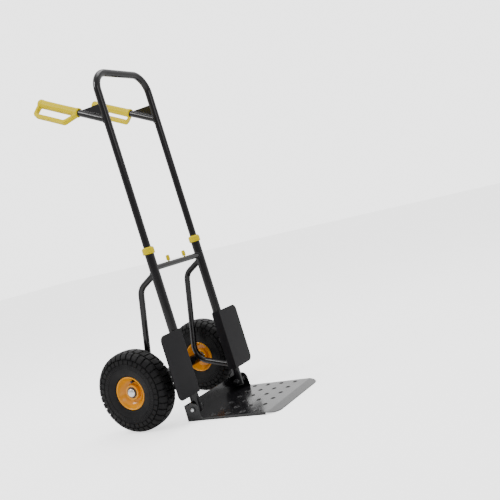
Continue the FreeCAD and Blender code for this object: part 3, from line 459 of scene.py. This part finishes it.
# ---------------------------------------------------------------- frame tubes
for side, k in SIDES:
    # lower rail, its lower end cut square with an eased rim
    pts = [F(k * 135, 0, z) for z in (-14, -13.6, -12.8, 100, 250, 400, 503)]
    ob = sweep("rail_tube_" + side, pts, [14.4 * MM, 14.8 * MM, 15 * MM] + [15 * MM] * 4, n=56)
    finish_piece(ob, GLOSS, "frame", ("rail_" + side,))
    # side brace: down from the rail, round the front of the axle tube, forward to the rail's foot
    run = rounded_run([(0, 441), (-74.4, 404.6), (-147.6, 107.2), (0, 57)], [45, 55], 2.5)
    d0 = np.array(run[1]) - np.array(run[0])
    d0 /= np.linalg.norm(d0)
    d1 = np.array(run[-2]) - np.array(run[-1])
    d1 /= np.linalg.norm(d1)
    run = [np.array(run[0]) + d0 * 8] + run[1:-1] + [np.array(run[-1]) + d1 * 8]
    ob = sweep("brace_tube_" + side, [F(k * 135, p[0], p[1]) for p in run], 10 * MM, n=40, caps=False)
    # both ends stop within the rail's wall, short of its bore
    for first, d in ((0, d0), (len(run) * 40 - 40, d1)):
        along = (F(0, d[0], d[1]) - F(0, 0, 0)).normalized()
        for v in ob.data.vertices[first:first + 40]:
            w = v.co - F(k * 135, 0, 0)
            w = w - UP * w.dot(UP)
            g = along - UP * along.dot(UP)
            A, B, C = g.dot(g), 2 * w.dot(g), w.dot(w) - (14.2 * MM) ** 2
            v.co += along * ((-B + math.sqrt(B * B - 4 * A * C)) / (2 * A))
    ob.data.update()
    finish_piece(ob, GLOSS, "frame", ("side_brace_" + side,))

    rail0 = F(k * 135, 0, 0)
    brace_top = F(k * 135, 0, 441)
    weld("weld_brace_top_" + side, "frame", rail0, UP, 15 * MM, brace_top, F(k * 135, -74.4, 404.6) - brace_top, 10 * MM)
    foot = F(k * 135, 0, 57)
    weld("weld_brace_foot_" + side, "frame", rail0, UP, 15 * MM, foot, F(k * 135, -147.6, 107.2) - foot, 10 * MM)
    # seams either side of the place where the brace crosses the axle tube
    for j, off in enumerate((-5.6, 5.6)):
        seam, rad = [], []
        for i in range(25):
            t = math.radians(25.1 + (i - 12) * 2.6)
            seam.append(F(k * 135 + off, -155 + 18.2 * math.cos(t), 105.07 + 18.2 * math.sin(t)))
            rad.append(1.7 * MM * min(1.0, 0.4 + i * 0.3, 0.4 + (24 - i) * 0.3) * (1.0 + 0.12 * abs(math.sin(i * 1.1))))
        ob = sweep("weld_axle_%s_%d" % (side, j), seam, rad, n=10)
        finish_piece(ob, WELD, "frame")
    bar0 = F(0, 0, 455.8)
    weld("weld_crossbar_" + side, "frame", rail0, UP, 15 * MM, F(k * 135, 0, 455.8), X * -k, 9 * MM)
    # the guards are stitched to the rails
    for i, z in enumerate((62, 142, 222)):
        bead("weld_guard_%s_%d" % (side, i), "frame", F(k * 119.6, -13.0, z), F(k * 119.9, -13.2, z + 20), 1.5)
        bead("weld_guard_front_%s_%d" % (side, i), "frame", F(k * 150.6, 14.6, z), F(k * 150.6, 14.6, z + 20), 1.4)

# guards with eased edges
for side, k in SIDES:
    refine("wheel_guard_" + side, 0.0007, 3)

# axle tube
ob = sweep("axle_tube_shown", [AXLE + X * v for v in (-0.172, -0.1714, -0.1705, -0.07, 0.07, 0.1705, 0.1714, 0.172)],
           [16.9 * MM, 17.3 * MM, 17.5 * MM, 17.5 * MM, 17.5 * MM, 17.5 * MM, 17.3 * MM, 16.9 * MM], n=64)
finish_piece(ob, GLOSS, "frame", ("axle_tube",))
refine("crossbar", 0.0004, 2)

# ---------------------------------------------------------------- telescopic frame
path = rounded_run([(135, 430), (135, 1099.7), (-135, 1099.7), (-135, 430)], [62, 62], 2.0)
holes_z = (455.8, 855.8)
ob = sweep("upper_tube_shown", [F(p[0], 0, p[1]) for p in path], 12 * MM, n=48)
cut = []
for side, k in SIDES:
    for z in holes_z:
        c = F(k * 122.2, 0, z)
        cyl = sweep("cutter", [c - X * 0.004, c + X * 0.004], 4.3 * MM, n=28)
        cut.append(cyl)
cutter = join("cutter_all", *cut)
mod = ob.modifiers.new("holes", "BOOLEAN")
mod.object = cutter
mod.operation = "DIFFERENCE"
mod.solver = "EXACT"
apply_mods(ob)
old = cutter.data
bpy.data.objects.remove(cutter)
bpy.data.meshes.remove(old)
shade(ob.data, 38)
finish_piece(ob, GLOSS, "handle", ("upper_frame",))
refine("upper_tube_glides", 0.0003, 2)

for side, k in SIDES:
    pts = [H(k, 0, 0, z) for z in (4, 60, 120, 200, 271)]
    ob = sweep("handle_arm_" + side, pts, 11 * MM, n=40)
    finish_piece(ob, GLOSS, "handle", ("handle_tube_" + side,))
    root = H(k, 0, 0, 0)
    weld("weld_handle_" + side, "handle", F(k * 135, 0, 0), UP, 12 * MM, root, HZ, 11 * MM)
    refine("handle_gusset_" + side, 0.0005, 2)
    # gusset welds along both tubes
    hs, hc = math.sin(math.radians(59.74)), math.cos(math.radians(59.74))

    def upper_line(a):
        return (-(a * hs) + 11 * hc, 943.8 + a * hc + 11 * hs)

    ar = (12 + 11 * hc) / hs
    for j, off in enumerate((-1.6, 1.6)):
        bead("weld_gusset_leg_%s_%d" % (side, j), "handle", F(k * 135 + off, -12.2, 996), F(k * 135 + off, -12.2, upper_line(ar)[1] + 2), 1.3)
        p, q = upper_line(ar + 2), upper_line(98)
        bead("weld_gusset_arm_%s_%d" % (side, j), "handle", F(k * 135 + off, *p), F(k * 135 + off, *q), 1.3)

# ---------------------------------------------------------------- collars, knobs
for side, k in SIDES:
    c = F(k * 135, 0, 513.5)
    prof = soften([(-11, 15.1), (-11, 18.3), (-9.8, 19.5), (6.5, 19.5), (9.2, 17.4), (11, 16.2), (11, 13.1), (10.2, 12.35), (4.2, 12.35), (4.2, 15.1)], 0.8)
    body_ = lathe("c1", [prof], c, UP, 120)
    # two small moulded ribs
    ribs = [body_]
    for z in (-6.5, 3.0):
        ribs.append(lathe("c2", [[(z - 0.7, 19.2), (z - 0.35, 19.75), (z + 0.35, 19.75), (z + 0.7, 19.2)]], c, UP, 120))
    ob = join("collar_" + side, *ribs)
    finish_piece(ob, GRIP, "frame", ("guide_collar_" + side,))
    c = F(k * 46, 0, 455.8)
    prof = soften([(0, 0), (0, 2.5), (11.5, 2.5), (11.5, 5.0), (12.5, 6.0), (26.0, 6.0), (28.2, 5.2), (29.4, 3.4), (29.8, 0)], 0.5)
    knob = [lathe("k0", [prof], c, UP, 64)]
    for z in (15.5, 18.0, 20.5):
        knob.append(lathe("k1", [[(z - 0.5, 5.9), (z - 0.2, 6.35), (z + 0.2, 6.35), (z + 0.5, 5.9)]], c, UP, 64))
    ob = join("knob_" + side, *knob)
    finish_piece(ob, GRIP, "release_" + side, ("release_knob_" + side,))

# the springs: copies of the imported coils, each with a mesh of its own
for side, k in SIDES:
    ob = bpy.data.objects.new("spring_coil_" + side, NODES["release_spring_" + side].data.copy())
    bpy.context.scene.collection.objects.link(ob)
    finish_piece(ob, WIRE, "frame", ("release_spring_" + side,))
    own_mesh(ob)

# ---------------------------------------------------------------- grips: the moulding with its edges rounded
for side, k in SIDES:
    src = NODES["hand_grip_" + side]
    me = src.data.copy()
    ob = bpy.data.objects.new("grip_" + side, me)
    bpy.context.scene.collection.objects.link(ob)
    bm = bmesh.new()
    bm.from_mesh(me)
    bmesh.ops.remove_doubles(bm, verts=bm.verts, dist=2e-6)
    bm.to_mesh(me)
    bm.free()
    mod = ob.modifiers.new("remesh", "REMESH")
    mod.mode = "VOXEL"
    mod.voxel_size = 0.0011
    mod.use_smooth_shade = True
    mod = ob.modifiers.new("smooth", "SMOOTH")
    mod.factor = 0.6
    mod.iterations = 9
    apply_mods(ob)
    for p in ob.data.polygons:
        p.use_smooth = True
    finish_piece(ob, GRIP, "handle", ("hand_grip_" + side,))

# ---------------------------------------------------------------- toe plate
refine("toe_plate", 0.0008, 3, mat=PLATE)
# pressed rims round the perforations
rings = []
for col in range(6):
    for row in range(4):
        c = T((col - 2.5) * 55.35, 56.0 + row * 51.96, -27.5)
        rings.append(lathe("r", [[(0.05, 9.6), (0.45, 8.9), (0.75, 7.9), (0.55, 6.7), (-0.3, 5.9), (-1.6, 5.6), (-3.3, 5.5), (-3.3, 6.2), (-0.2, 6.4)]],
                           c, (0, 0, 1), 40, 60))
ob = join("toe_plate_rims", *rings)
finish_piece(ob, PLATE, "toe")

# ---------------------------------------------------------------- wheels
OUT = [(30.2, 50.6), (30.2, 54.2), (33.2, 54.9), (35.6, 55.8), (37.2, 57.6), (38.6, 60.8), (40.8, 70.0), (42.45, 84.0), (42.15, 96.0), (40.4, 108.0),
       (36.9, 118.0), (30.3, 125.4), (20.2, 128.7), (8.5, 129.8), (0, 129.95)]


def smooth_profile(pts, per=60):
    """Catmull-Rom through the points."""
    P = [np.array(p, float) for p in pts]
    P = [2 * P[0] - P[1]] + P + [np.array((-P[-2][0], P[-2][1]))]
    out = []
    for i in range(1, len(P) - 2):
        for j in range(per):
            t = j / per
            out.append(0.5 * ((2 * P[i]) + (-P[i - 1] + P[i + 1]) * t + (2 * P[i - 1] - 5 * P[i] + 4 * P[i + 1] - P[i + 2]) * t ** 2
                              + (-P[i - 1] + 3 * P[i] - 3 * P[i + 1] + P[i + 2]) * t ** 3))
    out.append(P[-2])
    return np.array(out)


def tyre_mesh(name, k, centre):
    prof = smooth_profile(OUT[3:])          # from the bead fillet to the crown
    seg = np.linalg.norm(np.diff(prof, axis=0), axis=1)
    u = np.concatenate([[0], np.cumsum(seg)])

    def u_at_r(r):
        return float(np.interp(r, prof[:, 1], u))

    def u_at_s(s):
        return float(np.interp(-s, -prof[:, 0], u)) if s < 40 else None

    U = u[-1]
    r1, r2 = u_at_r(80.0), u_at_r(93.6)
    # (start, end, phase, groove half width in pitch parts, depth)
    rows = [
        (u_at_r(96.0), u_at_r(109.0), 0.5, 0.085, 2.6),
        (u_at_r(111.6), u_at_s(18.0), 0.0, 0.10, 4.0),
        (u_at_s(14.0), U + 1, 0.5, 0.10, 4.0),
    ]
    ladder = (u_at_r(82.2), u_at_r(91.8))
    ramp = 0.55
    samples = set([0.0, U])
    for s, e, ph, g, d in rows:
        for c in (s, e):
            if c < U:
                for o in (-ramp, -0.1, 0.1, ramp, 1.4):
                    samples.add(min(U, max(0.0, c + o)))
    for c in (r1, r2):
        for o in (-1.5, -0.9, -0.4, 0.4, 0.9, 1.5):
            samples.add(c + o)
    for c in ladder:
        for o in (-0.3, 0.3):
            samples.add(c + o)
    base = list(np.arange(0, U, 2.2))
    samples = sorted(samples)
    for b in base:
        if min(abs(b - s) for s in samples) > 0.7:
            samples.append(b)
    samples = sorted(samples)
    us = np.array(samples)
    S = np.interp(us, u, prof[:, 0])
    R = np.interp(us, u, prof[:, 1])
    # normals from the dense curve
    tang = np.gradient(prof, axis=0)
    tang /= np.linalg.norm(tang, axis=1)[:, None]
    tn = np.stack([np.interp(us, u, tang[:, 0]), np.interp(us, u, tang[:, 1])], 1)
    tn /= np.linalg.norm(tn, axis=1)[:, None]
    nrm = np.stack([tn[:, 1], -tn[:, 0]], 1)       # outward: +s and +r
    pitch = 36
    fr = np.array([0, .05, .085, .115, .15, .2, .25, .3, .35, .385, .415, .45, .5, .55, .585, .615, .65, .7, .75, .8, .85, .885, .915, .95])
    ths = np.concatenate([(i + fr) for i in range(pitch)]) / pitch * 2 * math.pi

    def wall(x, w):
        return np.clip(x / w, 0, 1)

    verts = []
    depth = np.full((len(us), len(ths)), 0.0)
    ph_all = (ths / (2 * math.pi) * pitch) % 1.0
    tread_from = u_at_r(94.6)
    for i, uu in enumerate(us):
        if uu < tread_from:
            d = np.full(len(ths), 0.95)
            for c in (r1, r2):
                d -= 0.8 * max(0.0, 1 - max(0.0, abs(uu - c) - 0.45) / 0.5)
            if ladder[0] < uu < ladder[1]:
                f = (ths / (2 * math.pi) * pitch * 2) % 1.0
                bar = (np.abs(f - 0.5) < 0.13).astype(float)
                d -= 0.75 * bar * (1.0 if ladder[0] + 0.2 < uu < ladder[1] - 0.2 else 0.0)
            # ease to the bead
            d *= min(1.0, uu / 6.0)
        else:
            d = np.full(len(ths), 2.6 if uu < u_at_r(110.3) else 4.0)
            t = min(1.0, (uu - tread_from) / 1.6)
            d = 0.95 + (d - 0.95) * t
            for s, e, ph, g, dep in rows:
                if s - ramp < uu < e + ramp:
                    f = np.abs((ph_all - ph + 0.5) % 1.0 - 0.5)       # distance from the groove centre
                    across = wall(f - g + 0.02, 0.035)
                    along = min(1.0, (uu - s + ramp * 0.5) / ramp, (e - uu + ramp * 0.5) / ramp)
                    along = max(0.0, along)
                    # blocks rise to the full profile, the grooves between them keep their depth
                    up = across * along
                    d = d * (1 - up) + 0.0 * up
        depth[i] = np.maximum(d, 0.0)
    n_u, n_t = len(us), len(ths)
    full_s = np.concatenate([S, -S[-2::-1]])
    full_r = np.concatenate([R, R[-2::-1]])
    full_n = np.concatenate([nrm, nrm[-2::-1] * np.array([-1, 1])])
    # the far half repeats the near half's pattern, mirrored across the crown
    half = depth[-2::-1]
    full_d = np.concatenate([depth, half])
    for i in range(len(full_s)):
        s = full_s[i] - full_n[i, 0] * full_d[i]
        r = full_r[i] - full_n[i, 1] * full_d[i]
        y = r * np.cos(ths)
        z = r * np.sin(ths)
        for j in range(n_t):
            verts.append((centre.x + k * s[j] * MM, centre.y + y[j] * MM, centre.z + z[j] * MM))
    faces = []
    M = len(full_s)
    for i in range(M - 1):
        for j in range(n_t):
            j2 = (j + 1) % n_t
            faces.append((i * n_t + j, i * n_t + j2, (i + 1) * n_t + j2, (i + 1) * n_t + j))
    # bead and inside
    inner = [(33.2, 54.9), (30.2, 54.2), (30.2, 50.8), (24.0, 50.8), (24.0, 54.5), (33.0, 62.0), (38.0, 80.0), (37.0, 98.0), (31.0, 112.0), (18.0, 121.0), (0, 123.0)]
    ring = inner + [(-a, r) for a, r in reversed(inner[:-1])]
    first = len(verts)
    for a, r in ring:
        for j in range(n_t):
            verts.append((centre.x + k * a * MM, centre.y + r * math.cos(ths[j]) * MM, centre.z + r * math.sin(ths[j]) * MM))
    for i in range(len(ring) - 1):
        for j in range(n_t):
            j2 = (j + 1) % n_t
            faces.append((first + i * n_t + j, first + (i + 1) * n_t + j, first + (i + 1) * n_t + j2, first + i * n_t + j2))
    last = first + (len(ring) - 1) * n_t
    for j in range(n_t):
        j2 = (j + 1) % n_t
        faces.append((j, first + j, first + j2, j2))
        a = (M - 1) * n_t
        faces.append((a + j, a + j2, last + j2, last + j))
    me = bpy.data.meshes.new(name)
    me.from_pydata(verts, [], faces)
    me.validate()
    ob = bpy.data.objects.new(name, me)
    bpy.context.scene.collection.objects.link(ob)
    shade(me, 33)
    return ob


for side, k in SIDES:
    centre = AXLE + X * (k * 0.204)
    body = "wheel_" + side
    ob = tyre_mesh("tread_tyre_" + side, k, centre)
    finish_piece(ob, RUBBER, body, ("tyre_" + side,))
    ax = X * k
    outer = [
        (0, 50.5), (30.4, 50.5), (31.4, 53.0), (32.2, 53.6), (34.2, 53.6), (35.0, 52.8), (35.0, 50.7), (33.6, 49.2), (31.6, 48.3),
        (29.0, 47.2), (23.0, 43.6), (17.0, 38.6), (13.2, 33.6), (11.5, 29.0), (11.8, 26.2), (13.6, 24.8), (24.4, 23.8),
        (25.0, 23.2), (25.0, 17.6), (22.6, 17.6), (22.6, 21.05), (0, 21.05), (0, 26.5), (8.0, 27.0), (8.0, 31.0), (10.5, 36.6),
        (15.0, 41.8), (22.0, 46.4), (0, 46.6)]
    ob = lathe("rim_dish_" + side, [soften(outer, 1.0)], centre, ax, 144, 42)
    finish_piece(ob, RIMPAINT, body, ("rim_outer_" + side,))
    refine("rim_inner_" + side, 0.0005, 2)
    # valve: rubber stem, threaded collar, knurled cap
    vz = Vector((0, 0.0095, 0.034))
    parts = [lathe("v0", [soften([(9.0, 0), (9.0, 3.4), (19.5, 3.4), (19.5, 4.0), (27.5, 4.0), (28.3, 3.2), (28.3, 0)], 0.3)],
                   centre + vz, ax, 40)]
    for i in range(18):
        t = 2 * math.pi * i / 18
        c = centre + vz + Vector((0, math.cos(t), math.sin(t))) * 0.0040
        parts.append(sweep("v1", [c + ax * 0.0206, c + ax * 0.0270], 0.00022, n=6))
    ob = join("valve_stem_" + side, *parts)
    finish_piece(ob, SOFT_RUBBER, body, ("valve_" + side,))

# ---------------------------------------------------------------- hub and pivot hardware
for node, w in (("hub_sleeves", 0.0005), ("axle_washers", 0.0004), ("pivot_outer_washers", 0.0003), ("pivot_spacers", 0.0004),
                ("pivot_saddle_washers", 0.0003), ("pivot_cap_nuts", 0.0004), ("rail_end_plugs", 0.0004)):
    refine(node, w, 2)
caps = []
for side, k in SIDES:
    c = AXLE + X * (k * 0.204)
    caps.append(lathe("cap", [soften([(27.3, 10.05), (27.3, 13.6), (27.9, 14.0), (29.3, 13.8), (31.1, 12.4), (32.5, 9.8), (33.4, 6.4),
                                     (33.8, 3.0), (33.9, 0), (31.5, 0), (31.5, 8.0), (30.4, 10.05)], 0.5)], c, X * k, 96))
ob = join("axle_cap_domes", *caps)
finish_piece(ob, ZINC, "frame", ("axle_caps",))
bolts = []
for side, k in SIDES:
    c = F(0, 0, 0)
    bolts.append(lathe("bolt", [soften([(111.2, 0), (111.2, 4), (112.2, 5), (165.0, 5), (165.0, 6.6), (166.6, 6.3), (168.1, 4.9), (169.0, 2.6),
                                       (169.3, 0)], 0.5)], c, X * k, 72))
ob = join("pivot_bolt_domes", *bolts)
finish_piece(ob, ZINC, "frame", ("pivot_bolts",))

# ---------------------------------------------------------------- stage, light, camera
me = bpy.data.meshes.new("floor")
me.from_pydata([(-14, -14, 0), (14, -14, 0), (14, 14, 0), (-14, 14, 0)], [], [(0, 1, 2, 3)])
floor = bpy.data.objects.new("floor", me)
bpy.context.scene.collection.objects.link(floor)
fm = bpy.data.materials.new("pale_floor")
fm.use_nodes = True
nt = fm.node_tree
fb = nt.nodes["Principled BSDF"]
fb.inputs["Roughness"].default_value = 0.75
fb.inputs["Specular IOR Level"].default_value = 0.2
tc = nt.nodes.new("ShaderNodeTexCoord")
no = nt.nodes.new("ShaderNodeTexNoise")
no.inputs["Scale"].default_value = 3.0
nt.links.new(tc.outputs["Object"], no.inputs["Vector"])
mx = nt.nodes.new("ShaderNodeMix")
mx.data_type = "RGBA"
mx.inputs["A"].default_value = (0.93, 0.93, 0.93, 1)
mx.inputs["B"].default_value = (0.96, 0.96, 0.96, 1)
nt.links.new(no.outputs["Fac"], mx.inputs["Factor"])
nt.links.new(mx.outputs["Result"], fb.inputs["Base Color"])
nt.links.new(mx.outputs["Result"], fb.inputs["Emission Color"])
seen = nt.nodes.new("ShaderNodeLightPath")
lift = nt.nodes.new("ShaderNodeMath")
lift.operation = "MULTIPLY"
lift.inputs[1].default_value = 1.5
nt.links.new(seen.outputs["Is Camera Ray"], lift.inputs[0])
nt.links.new(lift.outputs["Value"], fb.inputs["Emission Strength"])
floor.data.materials.append(fm)

world = bpy.data.worlds.new("studio")
bpy.context.scene.world = world
world.use_nodes = True
wt = world.node_tree
bg = wt.nodes["Background"]
bg.inputs["Color"].default_value = (1, 1, 1, 1)
# a soft room, brighter behind the truck than behind the camera
wc = wt.nodes.new("ShaderNodeTexCoord")
dot = wt.nodes.new("ShaderNodeVectorMath")
dot.operation = "DOT_PRODUCT"
dot.inputs[1].default_value = (-0.78, -0.42, 0.46)
wt.links.new(wc.outputs["Generated"], dot.inputs[0])
room = wt.nodes.new("ShaderNodeMapRange")
room.inputs["From Min"].default_value = -0.7
room.inputs["From Max"].default_value = 0.9
room.inputs["To Min"].default_value = 0.50
room.inputs["To Max"].default_value = 1.75
wt.links.new(dot.outputs["Value"], room.inputs["Value"])
seen = wt.nodes.new("ShaderNodeLightPath")
back = wt.nodes.new("ShaderNodeMix")
back.data_type = "FLOAT"
wt.links.new(seen.outputs["Is Camera Ray"], back.inputs["Factor"])
wt.links.new(room.outputs["Result"], back.inputs["A"])
back.inputs["B"].default_value = 3.1
wt.links.new(back.outputs["Result"], bg.inputs["Strength"])


def area(name, loc, target, size, power, size_y=None):
    d = bpy.data.lights.new(name, "AREA")
    d.energy = power
    d.size = size
    if size_y:
        d.shape = "RECTANGLE"
        d.size_y = size_y
    o = bpy.data.objects.new(name, d)
    o.location = loc
    o.rotation_euler = (Vector(target) - Vector(loc)).to_track_quat("-Z", "Y").to_euler()
    bpy.context.scene.collection.objects.link(o)
    return o


area("key", (1.6, -1.4, 2.6), (0, 0, 0.5), 1.0, 45)
area("fill", (1.5, 2.6, 2.2), (0, 0, 0.4), 1.4, 16)
area("top", (-0.6, 0.4, 3.2), (0, 0, 0.3), 1.6, 35)

cam_data = bpy.data.cameras.new("camera")
cam_data.lens = 52.88
cam_data.sensor_width = 36.0
cam = bpy.data.objects.new("camera", cam_data)
bpy.context.scene.collection.objects.link(cam)
fwd = Vector((-0.871, -0.4901, -0.0443)).normalized()
right = Vector((-0.467, 0.8508, -0.2402))
right = (right - fwd * right.dot(fwd)).normalized()
up = right.cross(fwd).normalized()
m = Matrix((right, up, -fwd)).transposed().to_4x4()
m.translation = Vector((1.9885, Y0 + 1.3626, 0.5761))
cam.matrix_world = m
bpy.context.scene.camera = cam
